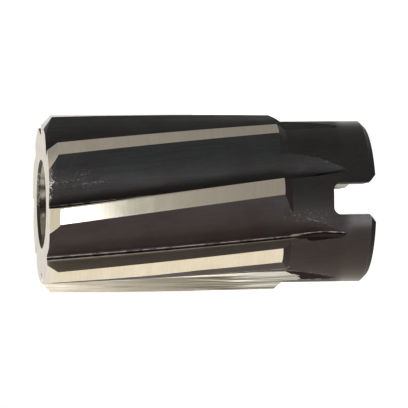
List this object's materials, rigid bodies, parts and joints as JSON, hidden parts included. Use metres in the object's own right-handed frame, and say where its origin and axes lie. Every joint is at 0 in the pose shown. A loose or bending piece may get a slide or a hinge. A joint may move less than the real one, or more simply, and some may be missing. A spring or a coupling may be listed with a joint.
{
  "type": "shell reamer",
  "caption": "A shell reamer with left-hand helical teeth, ground lands and a bevel lead, a plain end with a cross slot, and a taper bore that seats on an arbor.",
  "frame": {"origin": "on the bore axis, at the slotted end face, which the reamer stands on", "axes": "+Z along the bore axis from the slotted end to the cutting end; the drive slot runs along Y"},
  "size_m": [0.0244, 0.0244, 0.045],
  "materials": {
    "tool_steel": "black oxide in the flutes and on the plain end, ground bright on the lands, bevels, front face and bore"
  },
  "bodies": {
    "root": {"shell_reamer": "tool_steel"}
  },
  "joints": []
}
